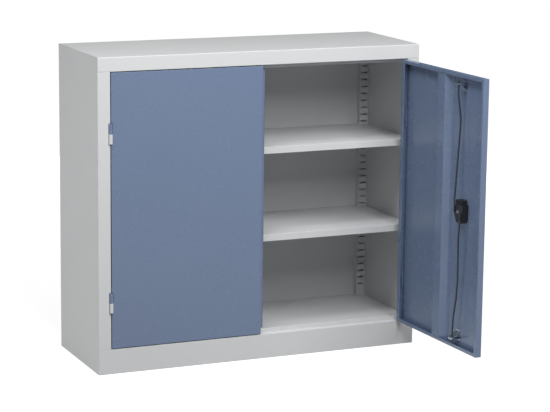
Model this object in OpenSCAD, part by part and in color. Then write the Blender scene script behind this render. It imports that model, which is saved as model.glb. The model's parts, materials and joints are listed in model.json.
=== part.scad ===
// Two-door steel tool cabinet with a turning lock, folded sheet doors and two hook-in shelves.
// Millimetres. Origin: middle of the base, on the floor. +X right, +Y to the back, +Z up.
// The left door is drawn shut and the right door stands open.

/* [Body] */
// Overall width of the body
body_w = 1200; // [1000:10:1400]
// Overall depth of the body
body_d = 420; // [380:5:560]
// Overall height of the body
body_h = 1090; // [1020:5:1300]
// Thickness of the body and door sheet
sheet_t = 1; // [0.8:0.1:1.5]
// Outside radius of the body folds
fold_r = 2; // [1.6:0.2:3]
// Width of the front face of each side
stile_w = 44; // [40:1:60]
// Height of the front fold of the top
rail_h = 49; // [44:1:70]
// Height of the plinth front
plinth_h = 86; // [60:2:130]
// Width of the rear folds of the sides
rear_flange_w = 15; // [12:1:30]
// Width of the folds the sides and plinth stand on
base_flange_w = 25; // [15:1:40]

/* [Doors] */
// Gap round each door
door_gap = 3; // [1.6:0.1:4]
// Thickness of the doors
door_t = 22; // [20:1:26]
// Play between the shut doors and their stops
door_play = 0.5; // [0.4:0.1:1]
// Inner lip on the hinge side of the doors
hinge_lip_w = 20; // [14:1:24]
// Inner lip on the other three sides of the doors
edge_lip_w = 12; // [10:1:16]
// Opening of the right door as it stands
right_open = 92; // [0:1:170]
// Distance from the hinge edge to the middle of the stiffener
stiffener_at = 276.5; // [190:0.5:300]
// Width of the raised face of the stiffener
stiffener_w = 48; // [30:1:60]
// Width of each slanted side of the stiffener
stiffener_run = 17; // [10:1:24]
// Width of each weld flange of the stiffener
stiffener_flange = 15; // [8:1:20]
// Overhang of the closing strip past the middle
closing_reach = 15; // [8:1:20]

/* [Stops and posts] */
// How far the top stop hangs below the front rail
top_stop_drop = 13; // [8:1:20]
// Height of the top stop strip
top_stop_h = 32; // [26:1:40]
// Height of the stop lip above the plinth
sill_stop_h = 16; // [10:1:20]
// Width of the stop beside each door
side_stop_w = 6; // [4:1:9]
// Width of the front posts
front_post_w = 27; // [26:1:34]
// Depth of the front posts
front_post_d = 38; // [34:0.5:60]
// Width of the rear posts
rear_post_w = 35; // [30:1:50]
// Depth of the rear posts
rear_post_d = 20; // [12:1:30]
// Spacing of the slots in the posts
slot_pitch = 26; // [24:1:30]
// Width of each slot
slot_w = 22; // [16:1:24]
// Height of each slot
slot_h = 4.5; // [4:0.5:6]
// Height of the lowest slot above the plinth
slot_start = 47; // [30:1:60]

/* [Floor] */
// Height of the floor above the plinth front
floor_rise = 3; // [2:0.5:8]
// Depth of the folds under the floor
floor_fold = 35; // [20:1:50]
// Width of the channel under the middle of the floor
support_w = 40; // [30:1:60]
// Width of the slots in the front corners of the floor
floor_slot_w = 4; // [1.5:0.5:5]
// Distance from the front edge of the floor to the slots beside the stops
side_slot_inset = 21; // [10:1:40]
// Length of the slots beside the stops
side_slot_l = 42; // [10:1:60]
// Length of the slots across the floor
hook_slot_l = 18; // [10:1:26]
// Distance from the stops to the middle of the slots across the floor
hook_slot_from_stop = 36; // [24:1:60]
// Distance from the front edge of the floor to the slots across it
hook_slot_inset = 25; // [12:1:50]

/* [Shelves] */
// Slot that carries the lower shelf
lower_shelf_slot = 11; // [5:1:16]
// Slot that carries the upper shelf
upper_shelf_slot = 23; // [18:1:28]
// Height of the folded edges of the shelves
shelf_fold = 24; // [20:1:35]
// How far the shelves stand behind the body front
shelf_inset = 43; // [38:1:60]
// Thickness of the shelf sheet
shelf_t = 1; // [0.8:0.1:1.5]
// Thickness of the shelf clips
clip_t = 1.5; // [1.2:0.1:2]
// Reach of the shelf clips under the shelf
clip_reach = 18; // [12:1:24]

/* [Hinges] */
// Outside radius of the hinge knuckles
knuckle_r = 6.5; // [6:0.25:7]
// Height of each hinge half
knuckle_h = 34; // [24:1:44]
// Radius of the hinge pins
hinge_pin_r = 3.5; // [3:0.25:4]
// Height of the hinge pins above their knuckle
hinge_pin_h = 28; // [14:1:30]
// Thickness of the hinge leaves
leaf_t = 2; // [1.5:0.25:2.5]
// Split of the lower hinges above the plinth
lower_hinge_rise = 163; // [100:0.5:220]
// Split of the upper hinges below the front rail
upper_hinge_drop = 210; // [120:1:260]

/* [Lock] */
// Distance from the hinge edge to the lock
lock_at = 420; // [380:1:440]
// Height of the lock above the lower edge of the door
lock_rise = 480; // [440:2:520]
// Width of the lock housing
housing_w = 46; // [40:1:56]
// Height of the lock housing
housing_h = 78; // [66:1:90]
// Wall of the lock housing
housing_wall = 2; // [1.5:0.1:3]
// Radius of the lock disc
disc_r = 28; // [26:0.5:30]
// Thickness of the lock disc
disc_t = 3; // [2:0.5:4]
// Distance of the rod holes from the middle of the disc
rod_crank = 20; // [18:0.5:21]
// Side of the square spindle
spindle_side = 8; // [7:0.5:8.5]

/* [Rods] */
// Radius of the lock rods
rod_r = 3; // [2.5:0.25:3.5]
// Distance of the rod guides from the hinge edge
guide_at = 402; // [390:1:410]
// Distance of the straight leg of each guide from the door edge
guide_inset = 30; // [24:1:40]
// Width of the guides
guide_w = 25; // [24:1:30]
// Height of the guide tips above the lips
guide_tip = 13; // [12:0.5:13.5]
// Width of the slots in the guides
guide_slot = 17; // [16:0.5:18]
// Rod centre above the lips in the guides
rod_guide_p = 6; // [5.5:0.25:6.5]
// Distance of the drawn-in rod tips from the door edge
rod_tip_inset = 22; // [20:1:23]

/* [Handle] */
// Length of the handle grip
grip_l = 100; // [80:2:120]
// Width of the handle grip
grip_w = 16; // [12:1:20]
// Thickness of the handle grip
grip_t = 14; // [10:1:18]
// Height of the handle above the door
handle_out = 42; // [38:1:50]
// Radius of the handle hub
hub_r = 17; // [14:0.5:20]
// Radius of the round plate under the handle
escutcheon_r = 27; // [24:0.5:32]
// Thickness of the plate under the handle
escutcheon_t = 3; // [2:0.5:4]
// Radius of the lock plug
plug_r = 6; // [5:0.25:7]

/* [Hidden] */
$fn = 64;

// Clearance left between pieces that are seated on one another
seat = 0.3;
// Radial clearance of pins and round bearings
run_fit = 0.06;
// Extra length of every cut past the sheet it opens
cut = 1;

half_w = body_w / 2;
front_y = -body_d / 2;
back_y = body_d / 2;
inner_x = half_w - sheet_t;
opening_x = half_w - stile_w;
rail_z = body_h - rail_h;
door_edge_x = opening_x - door_gap;
door_free_x = door_gap / 2;
door_low_z = plinth_h + door_gap;
door_high_z = rail_z - door_gap;
lip_y = front_y + door_t;
panel_p = sheet_t - door_t;
stop_y = lip_y + door_play;
stop_x = opening_x - side_stop_w;
post_x = inner_x - front_post_w;
post_back_y = stop_y + front_post_d;
floor_z = plinth_h + floor_rise;
back_panel_y = back_y - 2 * sheet_t;
rear_post_y = back_panel_y - rear_post_d;
rear_post_x = inner_x - rear_post_w;
slot_first_z = plinth_h + slot_start;
slot_last_z = rail_z - slot_pitch;
slot_count = floor((slot_last_z - slot_first_z) / slot_pitch) + 1;

hinge_x = opening_x - door_gap / 2;
hinge_out = 1;
hinge_y = front_y - hinge_out;
knuckle_gap = 1;
notch_r = knuckle_r + knuckle_gap;
notch_slack = 1;
lower_split_z = plinth_h + lower_hinge_rise;
upper_split_z = rail_z - upper_hinge_drop;
pin_bore_r = hinge_pin_r + run_fit;
leaf_end_y = lip_y - sheet_t - seat;

lock_x = door_edge_x - lock_at;
lock_z = door_low_z + lock_rise;
housing_p = 2;
disc_gap = 0.4;
disc_p = housing_p + disc_gap;
disc_face_p = disc_p + disc_t;
bend_swell = 0.15;
bend_r = rod_r + bend_swell;
rod_p = disc_face_p + seat + bend_r;
collar_r = 7;
screw_r = 2.5;
screw_head_r = 6;
screw_head_t = 3;
spindle_bore_l = 16;
plug_l = 18;
plug_floor = 5;
spindle_out = handle_out - plug_l - plug_floor;
guide_sheet = 2;

shelf_clear = 1;
clip_drop = 15;

body_color = [0.78, 0.79, 0.80];
door_color = [0.36, 0.42, 0.53];
steel_color = [0.62, 0.66, 0.70];
black_color = [0.09, 0.10, 0.12];

// Helpers

module slab(x0, x1, y0, y1, z0, z1) {
    translate([x0, y0, z0])
        cube([x1 - x0, y1 - y0, z1 - z0]);
}

// Rectangle with round corners, centred
module round_rect(w, d, r) {
    square([w - 2 * r, d], center = true);
    square([w, d - 2 * r], center = true);
    for (sx = [-1, 1], sy = [-1, 1])
        translate([sx * (w / 2 - r), sy * (d / 2 - r)])
            circle(r = r);
}

// Plan outline of the body walls
module wall_ring() {
    difference() {
        round_rect(body_w, body_d, fold_r);
        round_rect(body_w - 2 * sheet_t, body_d - 2 * sheet_t, fold_r - sheet_t);
    }
}

// Shape drawn in X and Z, running from y0 to y1
module along_y(x, z, y0, y1) {
    translate([x, y1, z])
        rotate([90, 0, 0])
            linear_extrude(height = y1 - y0)
                children();
}

// Shape drawn in Y and Z, running from x0 to x1
module along_x(x0, x1) {
    translate([x0, 0, 0])
        rotate([90, 0, 90])
            linear_extrude(height = x1 - x0)
                children();
}

module right_side() {
    mirror([1, 0, 0])
        children();
}

// Places a piece of the right door, drawn shut, where the door stands open
module swing_right() {
    translate([hinge_x, hinge_y, 0])
        rotate([0, 0, right_open])
            translate([-hinge_x, -hinge_y, 0])
                children();
}

// Body

module hinge_notch(split_z, x_in, x_out) {
    slab(hinge_x - x_in, hinge_x + x_out, front_y - cut, hinge_y + notch_r,
        split_z - knuckle_h - notch_slack, split_z + knuckle_h + seat + notch_slack);
}

module side_plan(y_min, y_max) {
    intersection() {
        wall_ring();
        union() {
            translate([opening_x, y_min])
                square([stile_w, -y_min]);
            translate([half_w - rear_flange_w, 0])
                square([rear_flange_w, y_max]);
        }
    }
}

module side_panel() {
    difference() {
        union() {
            linear_extrude(height = rail_z)
                side_plan(front_y + fold_r, back_y);
            translate([0, 0, plinth_h])
                linear_extrude(height = rail_z - plinth_h - seat)
                    side_plan(front_y, back_y);
            translate([0, 0, rail_z])
                linear_extrude(height = rail_h - sheet_t)
                    side_plan(front_y + fold_r, back_y - fold_r);
            slab(opening_x, opening_x + sheet_t, front_y, stop_y, plinth_h, rail_z - seat);
            slab(half_w - base_flange_w, inner_x, front_y + base_flange_w + seat, back_panel_y, 0, sheet_t);
        }
        for (split_z = [lower_split_z, upper_split_z])
            hinge_notch(split_z, 0, notch_r);
    }
}

module left_side_panel() {
    color(body_color)
        right_side()
            side_panel();
}

module right_side_panel() {
    color(body_color)
        side_panel();
}

// Outline of the body seen from the side, with rounded long edges
module top_outline() {
    translate([0, body_h / 2])
        round_rect(body_d, body_h, fold_r);
}

module top_panel() {
    color(body_color)
        intersection() {
            union() {
                translate([0, 0, rail_z])
                    linear_extrude(height = rail_h)
                        intersection() {
                            wall_ring();
                            for (side = [-1, 1])
                                translate([0, side * (body_d - fold_r) / 2])
                                    square([body_w, fold_r], center = true);
                        }
                slab(-half_w, half_w, front_y, back_y, body_h - sheet_t, body_h);
                slab(-opening_x, opening_x, front_y, stop_y, rail_z, rail_z + sheet_t);
            }
            along_x(-half_w, half_w)
                top_outline();
        }
}

module top_stop_strip() {
    stop_low_z = rail_z - top_stop_drop;
    stop_high_z = stop_low_z + top_stop_h;
    strip_fold = 15;
    color(body_color) {
        slab(-stop_x + seat, stop_x - seat, stop_y, stop_y + sheet_t, stop_low_z, stop_high_z);
        slab(-stop_x + seat, stop_x - seat, stop_y, stop_y + strip_fold, stop_high_z - sheet_t, stop_high_z);
    }
}

module back_panel() {
    edge_x = half_w - fold_r - seat;
    color(body_color)
        slab(-edge_x, edge_x, back_panel_y, back_panel_y + sheet_t, sheet_t + seat, body_h - sheet_t - seat);
}

module plinth_panel() {
    lip_top_z = plinth_h + sill_stop_h;
    color(body_color) {
        linear_extrude(height = plinth_h)
            intersection() {
                wall_ring();
                translate([0, front_y + fold_r / 2])
                    square([body_w, fold_r], center = true);
            }
        slab(-opening_x, opening_x, front_y, stop_y + sheet_t, plinth_h - sheet_t, plinth_h);
        slab(-stop_x + seat, stop_x - seat, stop_y, stop_y + sheet_t, plinth_h - sheet_t, lip_top_z);
        slab(-inner_x, inner_x, front_y, front_y + base_flange_w, 0, sheet_t);
    }
}

module floor_panel() {
    front_edge_y = stop_y + sheet_t + seat;
    edge_x = inner_x - seat;
    back_edge_y = back_panel_y - seat;
    low_z = floor_z - floor_fold;
    side_slot_y = front_edge_y + side_slot_inset;
    side_slot_x = stop_x - floor_slot_w / 2;
    hook_slot_x = stop_x - hook_slot_from_stop;
    hook_slot_y = front_edge_y + hook_slot_inset;
    color(body_color)
        difference() {
            slab(-edge_x, edge_x, front_edge_y, back_edge_y, low_z, floor_z);
            slab(-edge_x + sheet_t, edge_x - sheet_t, front_edge_y + sheet_t, back_edge_y - sheet_t,
                low_z - cut, floor_z - sheet_t);
            for (side = [-1, 1]) {
                translate([side * side_slot_x, side_slot_y + side_slot_l / 2, floor_z])
                    cube([floor_slot_w, side_slot_l, 2 * (sheet_t + cut)], center = true);
                translate([side * hook_slot_x, hook_slot_y, floor_z])
                    cube([hook_slot_l, floor_slot_w, 2 * (sheet_t + cut)], center = true);
            }
        }
}

module floor_support() {
    channel_t = 1.5;
    channel_front_y = front_y + base_flange_w + seat;
    channel_back_y = back_panel_y - 2 * seat - sheet_t;
    color(body_color)
        difference() {
            slab(-support_w / 2, support_w / 2, channel_front_y, channel_back_y, 0, floor_z - sheet_t);
            slab(-support_w / 2 + channel_t, support_w / 2 - channel_t, front_y, back_y,
                channel_t, floor_z);
        }
}

// One column of slots cut through a face that looks along Y
module slot_column(x, y) {
    for (i = [0 : slot_count - 1])
        translate([x, y, slot_first_z + i * slot_pitch])
            cube([slot_w, 2 * (sheet_t + cut), slot_h], center = true);
}

// Post behind the side's front face, whose front runs on as the stop beside the door
module front_post() {
    slot_x = (post_x + inner_x) / 2;
    high_z = body_h - sheet_t - seat;
    slab(stop_x, inner_x, stop_y, stop_y + sheet_t, floor_z, high_z);
    difference() {
        slab(post_x, inner_x, stop_y, post_back_y, floor_z, high_z);
        slab(post_x + sheet_t, inner_x + cut, stop_y + sheet_t, post_back_y - sheet_t, 0, body_h);
        slot_column(slot_x, post_back_y);
    }
}

module left_front_post() {
    color(body_color)
        right_side()
            front_post();
}

module right_front_post() {
    color(body_color)
        front_post();
}

module rear_post() {
    slot_x = rear_post_x + rear_post_w / 2;
    difference() {
        slab(rear_post_x, inner_x, rear_post_y, back_panel_y, floor_z, body_h - sheet_t - seat);
        slab(rear_post_x + sheet_t, inner_x + cut, rear_post_y + sheet_t, back_y, 0, body_h);
        slot_column(slot_x, rear_post_y);
    }
}

module left_rear_post() {
    color(body_color)
        right_side()
            rear_post();
}

module right_rear_post() {
    color(body_color)
        rear_post();
}

// Hinges

module hinge_base(split_z) {
    base_low_z = split_z - knuckle_h;
    leaf_x = opening_x + sheet_t;
    color(body_color) {
        translate([hinge_x, hinge_y, base_low_z])
            cylinder(r = knuckle_r, h = knuckle_h);
        translate([hinge_x, hinge_y, split_z])
            cylinder(r = hinge_pin_r, h = hinge_pin_h);
        slab(leaf_x, leaf_x + leaf_t, hinge_y, leaf_end_y, base_low_z, split_z);
    }
}

// Folded cover that closes the door's notch round both knuckles from the inside
module hinge_cover(split_z) {
    cover_x = hinge_x - notch_r;
    cover_y = hinge_y + notch_r;
    cover_low_z = split_z - knuckle_h - 2 * notch_slack;
    cover_high_z = split_z + knuckle_h + seat + 2 * notch_slack;
    slab(cover_x - sheet_t, door_edge_x - sheet_t, cover_y, cover_y + sheet_t, cover_low_z, cover_high_z);
    slab(cover_x - sheet_t, cover_x, front_y + sheet_t, cover_y + sheet_t, cover_low_z, cover_high_z);
}

module hinge_leaf(split_z) {
    leaf_low_z = split_z + seat;
    leaf_x = door_edge_x - sheet_t;
    bore_h = hinge_pin_h + 2 * seat;
    color(door_color)
        difference() {
            union() {
                translate([hinge_x, hinge_y, leaf_low_z])
                    cylinder(r = knuckle_r, h = knuckle_h);
                slab(leaf_x - leaf_t, leaf_x, hinge_y, leaf_end_y, leaf_low_z, leaf_low_z + knuckle_h);
                hinge_cover(split_z);
            }
            translate([hinge_x, hinge_y, split_z - cut])
                cylinder(r = pin_bore_r, h = bore_h + cut);
        }
}

module left_upper_hinge_base() {
    right_side()
        hinge_base(upper_split_z);
}

module left_lower_hinge_base() {
    right_side()
        hinge_base(lower_split_z);
}

module right_upper_hinge_base() {
    hinge_base(upper_split_z);
}

module right_lower_hinge_base() {
    hinge_base(lower_split_z);
}

module left_upper_hinge_leaf() {
    right_side()
        hinge_leaf(upper_split_z);
}

module left_lower_hinge_leaf() {
    right_side()
        hinge_leaf(lower_split_z);
}

module right_upper_hinge_leaf() {
    swing_right()
        hinge_leaf(upper_split_z);
}

module right_lower_hinge_leaf() {
    swing_right()
        hinge_leaf(lower_split_z);
}

// Doors

module door_tray() {
    difference() {
        slab(door_free_x, door_edge_x, front_y, lip_y, door_low_z, door_high_z);
        slab(door_free_x + sheet_t, door_edge_x - sheet_t, front_y + sheet_t, lip_y - sheet_t,
            door_low_z + sheet_t, door_high_z - sheet_t);
        slab(door_free_x + edge_lip_w, door_edge_x - hinge_lip_w, lip_y - sheet_t - cut, lip_y + cut,
            door_low_z + edge_lip_w, door_high_z - edge_lip_w);
        for (split_z = [lower_split_z, upper_split_z])
            hinge_notch(split_z, notch_r, 0);
    }
}

// Stiffener outline, in distance from its middle and height over the lips
module stiffener_outline() {
    flat_x = stiffener_w / 2;
    foot_x = flat_x + stiffener_run;
    low_p = panel_p;
    high_p = -sheet_t;
    slant = sheet_t * sqrt(pow(stiffener_run, 2) + pow(high_p - low_p, 2)) / (high_p - low_p);
    half = [[flat_x, high_p], [foot_x, low_p + sheet_t], [foot_x + stiffener_flange, low_p + sheet_t],
        [foot_x + stiffener_flange, low_p], [foot_x - slant, low_p], [flat_x - slant, high_p - sheet_t]];
    last = len(half) - 1;
    polygon(concat(half, [for (i = [last : -1 : 0]) [-half[i][0], half[i][1]]]));
}

module door_stiffener() {
    translate([door_edge_x - stiffener_at, lip_y, door_low_z + sheet_t])
        linear_extrude(height = door_high_z - door_low_z - 2 * sheet_t)
            stiffener_outline();
}

module left_door_panel() {
    color(door_color)
        right_side()
            door_tray();
}

module left_door_stiffener() {
    color(door_color)
        right_side()
            door_stiffener();
}

module closing_strip() {
    end_gap = 3;
    strip_low_z = plinth_h + sill_stop_h + end_gap;
    strip_high_z = rail_z - top_stop_drop - end_gap;
    lift = 0.6;
    color(door_color) {
        slab(-door_free_x - edge_lip_w, -door_free_x, lip_y, lip_y + sheet_t, strip_low_z, strip_high_z);
        slab(-door_free_x - sheet_t, -door_free_x, lip_y, lip_y + lift + sheet_t, strip_low_z, strip_high_z);
        slab(-door_free_x, closing_reach, lip_y + lift, lip_y + lift + sheet_t, strip_low_z, strip_high_z);
    }
}

module right_door_panel() {
    spindle_hole_r = spindle_side;
    color(door_color)
        swing_right()
            difference() {
                door_tray();
                along_y(lock_x, lock_z, front_y - cut, front_y + sheet_t + cut)
                    circle(r = spindle_hole_r);
            }
}

module right_door_stiffener() {
    color(door_color)
        swing_right()
            door_stiffener();
}

// Shelves

module shelf(slot) {
    top_z = slot_first_z + slot * slot_pitch + clip_drop;
    low_z = top_z - shelf_fold;
    shelf_front_y = front_y + shelf_inset;
    front_x = post_x - shelf_clear;
    wall_x = inner_x - shelf_clear;
    mid_y = post_back_y + shelf_clear;
    rear_y = rear_post_y - shelf_clear;
    back_edge_y = back_panel_y - shelf_clear;
    rear_x = rear_post_x - shelf_clear;
    hem = 12;
    color(body_color) {
        slab(-front_x, front_x, shelf_front_y, mid_y, top_z - shelf_t, top_z);
        slab(-wall_x, wall_x, mid_y, rear_y, top_z - shelf_t, top_z);
        slab(-rear_x, rear_x, rear_y, back_edge_y, top_z - shelf_t, top_z);
        slab(-front_x, front_x, shelf_front_y, shelf_front_y + shelf_t, low_z, top_z);
        slab(-front_x, front_x, shelf_front_y, shelf_front_y + hem, low_z, low_z + shelf_t);
        slab(-rear_x, rear_x, back_edge_y - shelf_t, back_edge_y, low_z, top_z);
        for (side = [-1, 1])
            translate([side * (wall_x - shelf_t / 2) - shelf_t / 2, mid_y, low_z])
                cube([shelf_t, rear_y - mid_y, shelf_fold]);
    }
}

module upper_shelf() {
    shelf(upper_shelf_slot);
}

module lower_shelf() {
    shelf(lower_shelf_slot);
}

// Clip hooked in a slot of a post face at y, reaching back, or forward when turned
module shelf_clip(x, y, slot, turned) {
    slot_z = slot_first_z + slot * slot_pitch;
    side_play = 1;
    hook_play = 0.5;
    clip_w = slot_w - 2 * side_play;
    hook_h = slot_h - hook_play;
    barb_drop = 5;
    half_clip_w = clip_w / 2;
    barb_y = -sheet_t - seat;
    hook_low_z = slot_z - hook_h / 2;
    hook_high_z = slot_z + hook_h / 2;
    tongue_z = slot_z + clip_drop - shelf_t - seat;
    leg_low_z = slot_z - slot_pitch / 2;
    translate([x, y, 0])
        mirror([0, turned, 0]) {
            slab(-half_clip_w, half_clip_w, 0, clip_t, leg_low_z, tongue_z);
            slab(-half_clip_w, half_clip_w, 0, clip_reach, tongue_z - clip_t, tongue_z);
            slab(-half_clip_w, half_clip_w, barb_y - clip_t, clip_t, hook_low_z, hook_high_z);
            slab(-half_clip_w, half_clip_w, barb_y - clip_t, barb_y, hook_low_z - barb_drop, hook_high_z);
        }
}

module shelf_clips(slot) {
    color(steel_color)
        for (side = [-1, 1]) {
            shelf_clip(side * (post_x + inner_x) / 2, post_back_y, slot, 0);
            shelf_clip(side * (rear_post_x + rear_post_w / 2), rear_post_y, slot, 1);
        }
}

module upper_shelf_clips() {
    shelf_clips(upper_shelf_slot);
}

module lower_shelf_clips() {
    shelf_clips(lower_shelf_slot);
}

// Lock on the inside of the right door

// Outline of the housing, or of its hollow with inset as the wall
module housing_outline(inset) {
    corner_w = 8;
    notch_h = 14;
    chamfer_h = 13;
    half = housing_w / 2 - inset;
    top = housing_h / 2 - inset;
    polygon([[-half + corner_w, -top], [half - corner_w, -top], [half, -top + chamfer_h], [half, top],
        [-half + corner_w, top], [-half + corner_w, top - notch_h], [-half, top - notch_h],
        [-half, -top + chamfer_h]]);
}

module lock_housing() {
    color(black_color)
        swing_right()
            difference() {
                along_y(lock_x, lock_z, lip_y + panel_p, lip_y + housing_p)
                    housing_outline(0);
                along_y(lock_x, lock_z, lip_y + panel_p - cut, lip_y + housing_p - housing_wall)
                    housing_outline(housing_wall);
                along_y(lock_x, lock_z, lip_y, lip_y + housing_p + cut)
                    circle(r = collar_r + run_fit);
            }
}

// Heads of the two screws that hold the housing to the door
module lock_screws() {
    head_r = 3.5;
    head_t = 2;
    screw_z = housing_h / 2 - head_r - housing_wall;
    color(black_color)
        swing_right()
            for (side = [-1, 1])
                along_y(lock_x, lock_z + side * screw_z, lip_y + housing_p, lip_y + housing_p + head_t)
                    circle(r = head_r);
}

module lock_spindle() {
    collar_back = 1;
    color(steel_color)
        swing_right()
            difference() {
                union() {
                    along_y(lock_x, lock_z, lip_y + panel_p + collar_back, lip_y + disc_p)
                        circle(r = collar_r);
                    along_y(lock_x, lock_z, front_y - spindle_out, lip_y + disc_face_p)
                        square(spindle_side, center = true);
                }
                along_y(lock_x, lock_z, lip_y + disc_face_p - spindle_bore_l, lip_y + disc_face_p + cut)
                    circle(r = screw_r + run_fit);
            }
}

module lock_disc() {
    color(black_color)
        swing_right()
            along_y(lock_x, lock_z, lip_y + disc_p, lip_y + disc_face_p)
                difference() {
                    circle(r = disc_r);
                    square(spindle_side + 2 * run_fit, center = true);
                    for (side = [-1, 1])
                        translate([side * rod_crank, 0])
                            circle(r = rod_r + run_fit);
                }
}

module spindle_screw() {
    color(steel_color)
        swing_right() {
            along_y(lock_x, lock_z, lip_y + disc_face_p, lip_y + disc_face_p + screw_head_t)
                circle(r = screw_head_r);
            along_y(lock_x, lock_z, lip_y + disc_face_p - spindle_bore_l + cut, lip_y + disc_face_p)
                circle(r = screw_r);
        }
}

// Round bar between two points
module bar(a, b) {
    d = b - a;
    turn = atan2(d[1], d[0]);
    tip = acos(d[2] / norm(d));
    translate(a)
        rotate([0, tip, turn])
            cylinder(r = rod_r, h = norm(d));
}

// Bent rod: pin in the disc, then bars between the stations with round bends
module rod(stations) {
    pin_end_p = disc_p + seat;
    first = stations[0];
    last = len(stations) - 1;
    bar([first[0], lip_y + pin_end_p, first[2]], first);
    for (i = [0 : last - 1]) {
        bar(stations[i], stations[i + 1]);
        translate(stations[i])
            sphere(r = bend_r);
    }
}

// A station on a rod from its distance to the hinge edge, height over the lips and height above the floor
function station(s, p, z) = [door_edge_x - s, lip_y + p, z];

upper_tip_z = door_high_z - rod_tip_inset;
lower_tip_z = door_low_z + rod_tip_inset;
upper_run = door_high_z - guide_inset - lock_z;
lower_run = lock_z - door_low_z - guide_inset;
lower_reach = rod_crank + lock_at - guide_at;
function lower_s(drop) = lock_at + rod_crank - lower_reach * drop / lower_run;

// Rises of the upper rod's bends over the lock, and drops of the lower rod's bends
upper_clear = 40;
upper_dip_from = 0.66 * upper_run;
upper_dip_to = 0.73 * upper_run;
upper_straight = 41;
upper_dip_p = -6;
lower_clear = 90;
lower_dip_from = 0.52 * lower_run;
lower_dip_to = 0.67 * lower_run;
lower_straight = 78;
lower_dip_p = 0;

module upper_rod() {
    pin_s = lock_at - rod_crank;
    dip_s = (pin_s + guide_at) / 2;
    color(black_color)
        swing_right()
            rod([station(pin_s, rod_p, lock_z),
                station(pin_s, rod_p, lock_z + upper_clear),
                station(dip_s, upper_dip_p, lock_z + upper_dip_from),
                station(dip_s, upper_dip_p, lock_z + upper_dip_to),
                station(guide_at, rod_guide_p, lock_z + upper_run - upper_straight),
                station(guide_at, rod_guide_p, upper_tip_z)]);
}

module lower_rod() {
    guide_drop = lower_run - lower_straight;
    color(black_color)
        swing_right()
            rod([station(lower_s(0), rod_p, lock_z),
                station(lower_s(lower_clear), rod_p, lock_z - lower_clear),
                station(lower_s(lower_dip_from), lower_dip_p, lock_z - lower_dip_from),
                station(lower_s(lower_dip_to), lower_dip_p, lock_z - lower_dip_to),
                station(lower_s(guide_drop), rod_guide_p, lock_z - guide_drop),
                station(lower_s(lock_z - lower_tip_z), rod_guide_p, lower_tip_z)]);
}

// Bent strap guide, drawn for the top with its straight leg at z
module rod_guide() {
    leg_rise = 24;
    foot = 6;
    tip_flat = 3;
    rod_play = 0.5;
    guide_x = door_edge_x - guide_at;
    weld_y = lip_y + panel_p;
    strap_y = weld_y + guide_sheet;
    tip_y = lip_y + guide_tip;
    low_z = -leg_rise - guide_sheet;
    difference() {
        along_x(guide_x - guide_w / 2, guide_x + guide_w / 2)
            difference() {
                polygon([[weld_y, foot], [strap_y, foot], [strap_y, 0], [tip_y, 0],
                    [tip_y, -tip_flat - guide_sheet], [strap_y, low_z], [strap_y, low_z - foot],
                    [weld_y, low_z - foot]]);
                polygon([[weld_y - cut, -guide_sheet], [tip_y - guide_sheet, -guide_sheet],
                    [tip_y - guide_sheet, -tip_flat], [weld_y, -leg_rise], [weld_y - cut, -leg_rise]]);
            }
        translate([guide_x, lip_y + rod_guide_p, -leg_rise])
            linear_extrude(height = leg_rise + foot)
                round_rect(guide_slot, 2 * (rod_r + rod_play), rod_r);
    }
}

module top_rod_guide() {
    color(steel_color)
        swing_right()
            translate([0, 0, door_high_z - guide_inset])
                rod_guide();
}

module bottom_rod_guide() {
    color(steel_color)
        swing_right()
            translate([0, 0, door_low_z + guide_inset])
                mirror([0, 0, 1])
                    rod_guide();
}

// Handle on the outside of the right door

module handle_escutcheon() {
    color(black_color)
        swing_right()
            along_y(lock_x, lock_z, front_y - escutcheon_t, front_y)
                difference() {
                    circle(r = escutcheon_r);
                    circle(r = collar_r + escutcheon_t + run_fit);
                }
}

module door_handle() {
    neck_r = collar_r + escutcheon_t;
    color(black_color)
        swing_right()
            difference() {
                union() {
                    along_y(lock_x, lock_z, front_y - handle_out, front_y - escutcheon_t - seat)
                        circle(r = hub_r);
                    along_y(lock_x, lock_z, front_y - escutcheon_t - seat, front_y - seat)
                        circle(r = neck_r);
                    along_y(lock_x, lock_z, front_y - handle_out, front_y - handle_out + grip_t)
                        round_rect(grip_l, grip_w, grip_w / 2 - seat);
                }
                along_y(lock_x, lock_z, front_y - spindle_out - seat, front_y)
                    square(spindle_side + 2 * run_fit, center = true);
                along_y(lock_x, lock_z, front_y - handle_out - cut, front_y - handle_out + plug_l)
                    circle(r = plug_r + run_fit);
            }
}

module lock_plug() {
    keyway_w = 2;
    keyway_l = 7;
    keyway_depth = 12;
    color(steel_color)
        swing_right()
            difference() {
                along_y(lock_x, lock_z, front_y - handle_out, front_y - handle_out + plug_l - seat)
                    circle(r = plug_r);
                along_y(lock_x, lock_z, front_y - handle_out - cut, front_y - handle_out + keyway_depth)
                    square([keyway_w, keyway_l], center = true);
            }
}

left_side_panel();
right_side_panel();
top_panel();
top_stop_strip();
back_panel();
plinth_panel();
floor_panel();
floor_support();
left_front_post();
right_front_post();
left_rear_post();
right_rear_post();
left_upper_hinge_base();
left_lower_hinge_base();
right_upper_hinge_base();
right_lower_hinge_base();
upper_shelf_clips();
lower_shelf_clips();
upper_shelf();
lower_shelf();
left_door_panel();
left_door_stiffener();
closing_strip();
left_upper_hinge_leaf();
left_lower_hinge_leaf();
right_door_panel();
right_door_stiffener();
right_upper_hinge_leaf();
right_lower_hinge_leaf();
lock_housing();
lock_screws();
top_rod_guide();
bottom_rod_guide();
handle_escutcheon();
door_handle();
lock_spindle();
lock_disc();
spindle_screw();
upper_rod();
lower_rod();
lock_plug();
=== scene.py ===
import json
import math

import bpy
from mathutils import Matrix, Vector


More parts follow.
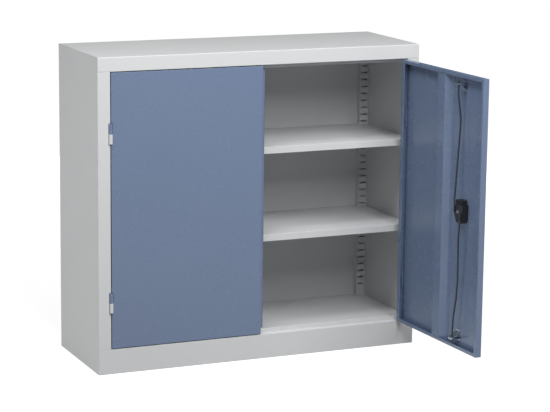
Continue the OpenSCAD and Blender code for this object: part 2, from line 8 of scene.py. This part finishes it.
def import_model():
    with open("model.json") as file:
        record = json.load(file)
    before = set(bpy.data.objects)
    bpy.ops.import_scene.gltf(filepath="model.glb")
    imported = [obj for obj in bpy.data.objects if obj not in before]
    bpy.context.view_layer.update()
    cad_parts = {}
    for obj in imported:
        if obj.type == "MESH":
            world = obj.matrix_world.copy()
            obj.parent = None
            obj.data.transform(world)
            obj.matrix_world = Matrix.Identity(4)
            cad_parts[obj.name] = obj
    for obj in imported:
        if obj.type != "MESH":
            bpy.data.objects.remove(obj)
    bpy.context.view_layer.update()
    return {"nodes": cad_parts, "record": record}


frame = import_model()
nodes = frame["nodes"]

# Camera, fitted to the corners of the body and of the open door
IMAGE_WIDTH = 550
FOCAL_PX = 2075.3
SENSOR_MM = 36.0
CAMERA_AT = Vector((-2.8062, -6.7031, 1.9582))
CAMERA_YAW = math.radians(23.732)
CAMERA_PITCH = math.radians(-11.273)
CAMERA_ROLL = math.radians(0.639)

# Colours, as linear values
BODY_GREY = (0.62, 0.63, 0.635)
DOOR_BLUE = (0.140, 0.191, 0.300)
# Zinc grey with a blue tint, which is a painted reflection of the blue doors
ZINC_WITH_PAINTED_REFLECTION = (0.42, 0.48, 0.54)
ROD_BLACK = (0.012, 0.017, 0.024)
PLASTIC_BLACK = (0.012, 0.013, 0.015)
FLOOR_GREY = (0.35, 0.35, 0.35)
FLOOR_LIFT = 0.80

# Studio, in metres; the world is dim except where the camera sees it
LIGHT_TARGET = Vector((0.0, 0.0, 0.55))
LIGHT_DISTANCE = 4.0
WORLD_LEVEL = 0.02
FLOOR_SIZE = 40.0
FLOOR_DROP = 0.0005
FADE_START = 1.6
FADE_END = 4.0

# Rounding that the shaders give to edges, in metres
FOLD_RADIUS = 0.0028
METAL_EDGE = 0.0006
PLASTIC_EDGE = 0.001

# Part of a noise's range in which most of its values lie
NOISE_LOW = 0.3
NOISE_HIGH = 0.7
SMEAR_LOW = 0.35

PAINT_IOR = 1.48


class Graph:
    """A small helper that adds and joins shader nodes."""

    def __init__(self, material):
        material.use_nodes = True
        self.tree = material.node_tree
        self.tree.nodes.clear()

    def add(self, kind, inputs=None, **settings):
        n = self.tree.nodes.new(kind)
        for key, value in settings.items():
            setattr(n, key, value)
        for key, value in (inputs or {}).items():
            self.put(n, key, value)
        return n

    def put(self, n, key, value):
        if isinstance(value, bpy.types.NodeSocket):
            self.tree.links.new(value, n.inputs[key])
        else:
            n.inputs[key].default_value = value


def noise(g, where, scale, detail=3.0, rough=0.55):
    return g.add("ShaderNodeTexNoise", {"Vector": where, "Scale": scale, "Detail": detail, "Roughness": rough})


def mapped(g, value, low, high, to_low, to_high):
    n = g.add("ShaderNodeMapRange", {"Value": value, "From Min": low, "From Max": high,
                                     "To Min": to_low, "To Max": to_high})
    return n.outputs["Result"]


def toned(g, color, cloud, spread):
    """The colour, made slightly lighter and darker by a noise."""
    tone = mapped(g, cloud, NOISE_LOW, NOISE_HIGH, 1.0 - spread, 1.0 + spread)
    shade = g.add("ShaderNodeMix", {"Factor": 1.0}, data_type="RGBA", blend_type="MULTIPLY")
    shade.inputs[6].default_value = (*color, 1.0)
    grey = g.add("ShaderNodeCombineColor", {"Red": tone, "Green": tone, "Blue": tone})
    g.tree.links.new(grey.outputs["Color"], shade.inputs[7])
    return shade.outputs[2]


def surface(g, shader):
    out = g.add("ShaderNodeOutputMaterial")
    g.tree.links.new(shader.outputs[0], out.inputs["Surface"])


def paint(name, color, rough, texture, spread=0.015):
    """Powder coat: fine orange peel, slight changes of tone and gloss, rounded fold edges."""
    m = bpy.data.materials.new(name)
    g = Graph(m)
    where = g.add("ShaderNodeTexCoord").outputs["Object"]
    broad = noise(g, where, 3.0, 4.0).outputs["Fac"]
    fine = noise(g, where, 700.0, 2.0).outputs["Fac"]
    smear = noise(g, where, 11.0, 6.0, 0.65).outputs["Fac"]
    shade = toned(g, color, broad, spread)
    gloss = mapped(g, smear, SMEAR_LOW, NOISE_HIGH, rough - 0.015, rough + 0.02)
    edge = g.add("ShaderNodeBevel", {"Radius": FOLD_RADIUS}, samples=12)
    bump = g.add("ShaderNodeBump", {"Strength": texture, "Distance": 0.0001, "Height": fine,
                                    "Normal": edge.outputs["Normal"]})
    shader = g.add("ShaderNodeBsdfPrincipled", {"Base Color": shade, "Roughness": gloss,
                                                "Normal": bump.outputs["Normal"], "IOR": PAINT_IOR})
    surface(g, shader)
    return m


def metal(name, color, rough, metallic=1.0, grain=160.0, spread=0.06):
    """Plated or blackened steel with a drawn grain."""
    m = bpy.data.materials.new(name)
    g = Graph(m)
    where = g.add("ShaderNodeTexCoord").outputs["Object"]
    cloud = noise(g, where, grain, 4.0).outputs["Fac"]
    shade = toned(g, color, cloud, spread)
    gloss = mapped(g, cloud, NOISE_LOW, NOISE_HIGH, rough - 0.05, rough + 0.08)
    edge = g.add("ShaderNodeBevel", {"Radius": METAL_EDGE}, samples=4)
    shader = g.add("ShaderNodeBsdfPrincipled", {"Base Color": shade, "Roughness": gloss,
                                                "Metallic": metallic, "Normal": edge.outputs["Normal"]})
    surface(g, shader)
    return m


def plastic(name, color, rough):
    """Moulded plastic: fine grain, slight changes of gloss."""
    m = bpy.data.materials.new(name)
    g = Graph(m)
    where = g.add("ShaderNodeTexCoord").outputs["Object"]
    fine = noise(g, where, 1500.0, 2.0).outputs["Fac"]
    wear = noise(g, where, 60.0, 5.0).outputs["Fac"]
    gloss = mapped(g, wear, NOISE_LOW, NOISE_HIGH, rough - 0.05, rough + 0.06)
    edge = g.add("ShaderNodeBevel", {"Radius": PLASTIC_EDGE}, samples=4)
    bump = g.add("ShaderNodeBump", {"Strength": 0.2, "Distance": 0.0002, "Height": fine,
                                    "Normal": edge.outputs["Normal"]})
    shader = g.add("ShaderNodeBsdfPrincipled", {"Base Color": (*color, 1.0), "Roughness": gloss,
                                                "Normal": bump.outputs["Normal"]})
    surface(g, shader)
    return m


materials = {
    "body_paint": paint("body_paint", BODY_GREY, 0.46, 0.07),
    "door_paint": paint("door_paint", DOOR_BLUE, 0.27, 0.04),
    "bright_steel": metal("bright_steel", ZINC_WITH_PAINTED_REFLECTION, 0.36),
    "black_steel": metal("black_steel", ROD_BLACK, 0.42, metallic=0.0),
    "black_plastic": plastic("black_plastic", PLASTIC_BLACK, 0.42),
}
slot_of = {s["node"]: s["material_slot"] for s in frame["record"]["subparts"]}
for name, obj in nodes.items():
    obj.data.materials.clear()
    obj.data.materials.append(materials[slot_of[name]])


def camera():
    cy, sy = math.cos(CAMERA_YAW), math.sin(CAMERA_YAW)
    cp, sp = math.cos(CAMERA_PITCH), math.sin(CAMERA_PITCH)
    cr, sr = math.cos(CAMERA_ROLL), math.sin(CAMERA_ROLL)
    ahead = Vector((sy * cp, cy * cp, sp))
    right = Vector((cy, -sy, 0.0))
    up = right.cross(ahead)
    right, up = cr * right + sr * up, -sr * right + cr * up
    data = bpy.data.cameras.new("camera")
    data.sensor_width = SENSOR_MM
    data.lens = FOCAL_PX / IMAGE_WIDTH * SENSOR_MM
    data.clip_start = 0.05
    data.clip_end = 60.0
    obj = bpy.data.objects.new("camera", data)
    bpy.context.scene.collection.objects.link(obj)
    turn = Matrix((right, up, -ahead)).transposed().to_4x4()
    obj.matrix_world = Matrix.Translation(CAMERA_AT) @ turn
    bpy.context.scene.camera = obj


def floor():
    """Pale floor that keeps the cabinet's shadow and fades to white further out."""
    bpy.ops.mesh.primitive_plane_add(size=FLOOR_SIZE, location=(0.0, 0.0, -FLOOR_DROP))
    obj = bpy.context.object
    obj.name = "floor"
    m = bpy.data.materials.new("floor")
    g = Graph(m)
    where = g.add("ShaderNodeTexCoord").outputs["Object"]
    apart = g.add("ShaderNodeVectorMath", {0: where}, operation="LENGTH").outputs["Value"]
    far = mapped(g, apart, FADE_START, FADE_END, 0.0, 1.0)
    base = g.add("ShaderNodeBsdfDiffuse", {"Color": (*FLOOR_GREY, 1.0)})
    path = g.add("ShaderNodeLightPath")
    seen = g.add("ShaderNodeMath", {0: path.outputs["Is Camera Ray"], 1: path.outputs["Is Glossy Ray"]},
                 operation="MAXIMUM")
    level = mapped(g, far, 0.0, 1.0, FLOOR_LIFT, 1.0)
    lift = g.add("ShaderNodeMath", {0: seen.outputs[0], 1: level}, operation="MULTIPLY")
    glow = g.add("ShaderNodeEmission", {"Color": (1.0, 1.0, 1.0, 1.0), "Strength": lift.outputs[0]})
    both = g.add("ShaderNodeAddShader")
    g.tree.links.new(base.outputs[0], both.inputs[0])
    g.tree.links.new(glow.outputs[0], both.inputs[1])
    surface(g, both)
    obj.data.materials.append(m)


def world(level):
    w = bpy.data.worlds.new("studio")
    bpy.context.scene.world = w
    g = Graph(w)
    path = g.add("ShaderNodeLightPath")
    seen = g.add("ShaderNodeMath", {0: path.outputs["Is Camera Ray"], 1: path.outputs["Is Transmission Ray"]},
                 operation="MAXIMUM")
    strength = g.add("ShaderNodeMapRange", {"Value": seen.outputs[0], "To Min": level, "To Max": 1.0})
    back = g.add("ShaderNodeBackground", {"Color": (1.0, 1.0, 1.0, 1.0), "Strength": strength.outputs["Result"]})
    out = g.add("ShaderNodeOutputWorld")
    g.tree.links.new(back.outputs[0], out.inputs["Surface"])


def softbox(name, azimuth, elevation, width, height, watts):
    """Area lamp that looks at the middle of the cabinet. Azimuth 0 is in front, 90 on the right."""
    turn, lift = math.radians(azimuth), math.radians(elevation)
    away = Vector((math.cos(lift) * math.sin(turn), -math.cos(lift) * math.cos(turn), math.sin(lift)))
    data = bpy.data.lights.new(name, "AREA")
    data.shape = "RECTANGLE"
    data.size = width
    data.size_y = height
    data.energy = watts
    obj = bpy.data.objects.new(name, data)
    bpy.context.scene.collection.objects.link(obj)
    obj.location = LIGHT_TARGET + LIGHT_DISTANCE * away
    obj.rotation_euler = away.to_track_quat("Z", "Y").to_euler()


camera()
floor()
world(WORLD_LEVEL)
softbox("key", 20.0, 45.0, 1.8, 1.2, 88.0)
softbox("front", -4.0, 34.0, 1.8, 1.2, 46.0)
softbox("high", -42.0, 62.0, 1.8, 1.2, 80.0)
softbox("left", -90.0, 5.0, 1.8, 1.8, 44.0)
# These two light the back and stay below the top sheet, which would mirror them
softbox("rear", 165.0, 1.0, 2.4, 0.8, 75.0)
softbox("right", 108.0, 1.0, 1.8, 0.8, 45.0)

bpy.context.scene.view_settings.view_transform = "Standard"
